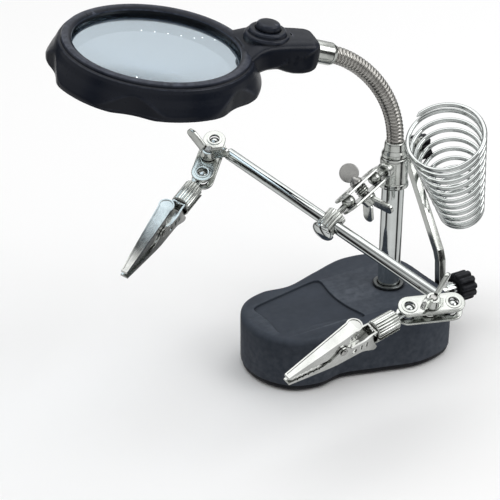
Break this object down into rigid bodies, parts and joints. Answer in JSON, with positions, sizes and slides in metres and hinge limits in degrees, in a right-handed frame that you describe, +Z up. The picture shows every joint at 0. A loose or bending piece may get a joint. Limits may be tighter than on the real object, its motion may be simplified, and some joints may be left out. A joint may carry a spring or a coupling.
{
  "type": "helping hands clamp",
  "caption": "Bench stand with two alligator clips on a jointed cross rod, a lit magnifier on a gooseneck and a coil that holds a soldering iron.",
  "frame": {"origin": "on the post axis at the underside of the foot pad", "axes": "+Z up along the post; +X to the right and +Y to the back as seen from the side the clips reach towards"},
  "size_m": [0.1809, 0.1478, 0.1506],
  "materials": {
    "slate_plastic": "moulded",
    "black_plastic": "moulded",
    "head_plastic": "satin moulded",
    "pad_rubber": "matte",
    "chrome": "polished",
    "steel": "plain",
    "cast_iron": "as cast",
    "cell_jacket": "smooth",
    "lens_glass": "clear",
    "lamp_white": "smooth"
  },
  "bodies": {
    "stand": {"base_shell": "slate_plastic", "bottom_cover": "black_plastic", "battery_door": "black_plastic", "foot_pad": "pad_rubber", "ballast_weight": "cast_iron", "battery_1": "cell_jacket", "battery_2": "cell_jacket", "battery_3": "cell_jacket", "post": "chrome", "post_foot_ring": "chrome", "post_nut": "steel", "base_insert_nut": "steel", "neck_socket": "chrome", "gooseneck_lower": "steel"},
    "collar": {"post_collar": "chrome"},
    "centre_plates": {"centre_plate_upper": "chrome", "centre_plate_lower": "chrome", "centre_clamp_bolt": "steel", "centre_clamp_spring": "steel"},
    "centre_nut": {"centre_wing_nut": "chrome"},
    "block": {"rod_block": "chrome"},
    "block_cap": {"rod_block_cap": "chrome"},
    "rod": {"cross_rod": "chrome"},
    "left_plates": {"left_plate_upper": "chrome", "left_plate_lower": "chrome", "left_clamp_bolt": "steel", "left_clamp_spring": "steel"},
    "left_nut": {"left_wing_nut": "chrome"},
    "left_stem": {"left_clip_stem": "chrome"},
    "left_clip": {"left_clip_sleeve": "chrome", "left_lower_jaw": "chrome", "left_jaw_pin": "steel", "left_jaw_spring": "steel"},
    "left_jaw": {"left_upper_jaw": "chrome"},
    "right_plates": {"right_plate_upper": "chrome", "right_plate_lower": "chrome", "right_clamp_bolt": "steel", "right_clamp_spring": "steel"},
    "right_nut": {"right_wing_nut": "chrome"},
    "right_stem": {"right_clip_stem": "chrome"},
    "right_clip": {"right_clip_sleeve": "chrome", "right_lower_jaw": "chrome", "right_jaw_pin": "steel", "right_jaw_spring": "steel"},
    "right_jaw": {"right_upper_jaw": "chrome"},
    "holder_arm": {"holder_arm": "chrome", "upper_clamp_screw": "chrome"},
    "lower_knob": {"lower_clamp_knob": "black_plastic", "lower_clamp_screw": "chrome"},
    "upper_knob": {"upper_clamp_knob": "black_plastic"},
    "coil": {"coil_bracket": "chrome", "iron_coil": "chrome"},
    "neck": {"gooseneck_middle": "steel"},
    "head": {"gooseneck_upper": "steel", "neck_ferrule": "steel", "magnifier_frame": "head_plastic", "magnifier_cover": "head_plastic", "magnifier_lens": "lens_glass", "lamp_ring": "lamp_white"},
    "button": {"switch_button": "head_plastic"}
  },
  "joints": [
    {"name": "collar_turn", "type": "hinge", "parent": "stand", "child": "collar", "pos_m": [0, 0, 0.0781], "axis": [0, 0, 1], "range_deg": [-18, 18]},
    {"name": "centre_swing", "type": "hinge", "parent": "collar", "child": "centre_plates", "pos_m": [-0.00877, -0.00996, 0.07917], "axis": [0.5996, -0.2672, -0.7544], "range_deg": [-10, 10]},
    {"name": "centre_nut_turn", "type": "hinge", "parent": "centre_plates", "child": "centre_nut", "pos_m": [-0.01434, -0.01636, 0.07702], "axis": [0.5996, -0.2672, -0.7544], "continuous": true},
    {"name": "block_roll", "type": "hinge", "parent": "centre_plates", "child": "block", "pos_m": [-0.0199, -0.02275, 0.07486], "axis": [-0.6356, -0.5818, -0.5074], "range_deg": [-10, 10]},
    {"name": "cap_turn", "type": "hinge", "parent": "block", "child": "block_cap", "pos_m": [-0.02753, -0.02973, 0.06877], "axis": [-0.6356, -0.5818, -0.5074], "continuous": true},
    {"name": "rod_slide", "type": "slide", "parent": "block", "child": "rod", "axis": [0.7655, -0.5603, -0.3164], "range_m": [-0.01, 0.01]},
    {"name": "left_plates_turn", "type": "hinge", "parent": "rod", "child": "left_plates", "pos_m": [-0.0743, 0.0045, 0.0881], "axis": [0.7655, -0.5603, -0.3164], "range_deg": [-15, 15]},
    {"name": "left_nut_turn", "type": "hinge", "parent": "left_plates", "child": "left_nut", "pos_m": [-0.07662, -0.00297, 0.08418], "axis": [0.0133, -0.4681, 0.8836], "continuous": true},
    {"name": "left_clip_swing", "type": "hinge", "parent": "left_plates", "child": "left_stem", "pos_m": [-0.07895, -0.01044, 0.08026], "axis": [0.0133, -0.4681, 0.8836], "range_deg": [-15, 15]},
    {"name": "left_clip_roll", "type": "hinge", "parent": "left_stem", "child": "left_clip", "pos_m": [-0.07895, -0.01044, 0.08026], "axis": [-0.4781, -0.8282, -0.2923], "range_deg": [-60, 60]},
    {"name": "left_jaw_open", "type": "hinge", "parent": "left_clip", "child": "left_jaw", "pos_m": [-0.096, -0.041, 0.07158], "axis": [-0.8749, 0.4197, 0.2417], "range_deg": [-1.5, 20], "stiffness_Nm_per_rad": 0.05, "springref_deg": -5},
    {"name": "right_plates_turn", "type": "hinge", "parent": "rod", "child": "right_plates", "pos_m": [0.0186, -0.0635, 0.0497], "axis": [0.7655, -0.5603, -0.3164], "range_deg": [-15, 15]},
    {"name": "right_nut_turn", "type": "hinge", "parent": "right_plates", "child": "right_nut", "pos_m": [0.01003, -0.06525, 0.0497], "axis": [0.0819, -0.4023, 0.9118], "continuous": true},
    {"name": "right_clip_swing", "type": "hinge", "parent": "right_plates", "child": "right_stem", "pos_m": [0.00145, -0.06699, 0.0497], "axis": [0.0819, -0.4023, 0.9118], "range_deg": [-15, 15]},
    {"name": "right_clip_roll", "type": "hinge", "parent": "right_stem", "child": "right_clip", "pos_m": [0.00145, -0.06699, 0.0497], "axis": [-0.7823, -0.6112, -0.1202], "range_deg": [-60, 60]},
    {"name": "right_jaw_open", "type": "hinge", "parent": "right_clip", "child": "right_jaw", "pos_m": [-0.02653, -0.0896, 0.04727], "axis": [-0.6166, 0.7321, 0.2897], "range_deg": [-1.5, 20], "stiffness_Nm_per_rad": 0.05, "springref_deg": -5},
    {"name": "arm_tilt", "type": "hinge", "parent": "stand", "child": "holder_arm", "pos_m": [0.02318, 0.00413, 0.0175], "axis": [0.8572, 0.515, 0], "range_deg": [-12, 12]},
    {"name": "lower_knob_turn", "type": "hinge", "parent": "stand", "child": "lower_knob", "pos_m": [0.02318, 0.00413, 0.0175], "axis": [0.8572, 0.515, 0], "continuous": true},
    {"name": "coil_tilt", "type": "hinge", "parent": "holder_arm", "child": "coil", "pos_m": [0.00814, 0.02916, 0.074], "axis": [0.8572, 0.515, 0], "range_deg": [-15, 2]},
    {"name": "upper_knob_turn", "type": "hinge", "parent": "holder_arm", "child": "upper_knob", "pos_m": [0.00814, 0.02916, 0.074], "axis": [0.8572, 0.515, 0], "continuous": true},
    {"name": "neck_bend_lower", "type": "hinge", "parent": "stand", "child": "neck", "pos_m": [-0.00272, -0.0006, 0.1067], "axis": [0.2619, -0.9651, 0], "range_deg": [-10, 10]},
    {"name": "neck_bend_upper", "type": "hinge", "parent": "neck", "child": "head", "pos_m": [-0.01318, -0.00319, 0.12298], "axis": [0.2619, -0.9651, 0], "range_deg": [-12, 12]},
    {"name": "switch_press", "type": "slide", "parent": "head", "child": "button", "axis": [-0.1463, 0.0599, -0.9874], "range_m": [0, 0.001], "stiffness_N_per_m": 400, "springref_m": -0.0005}
  ]
}
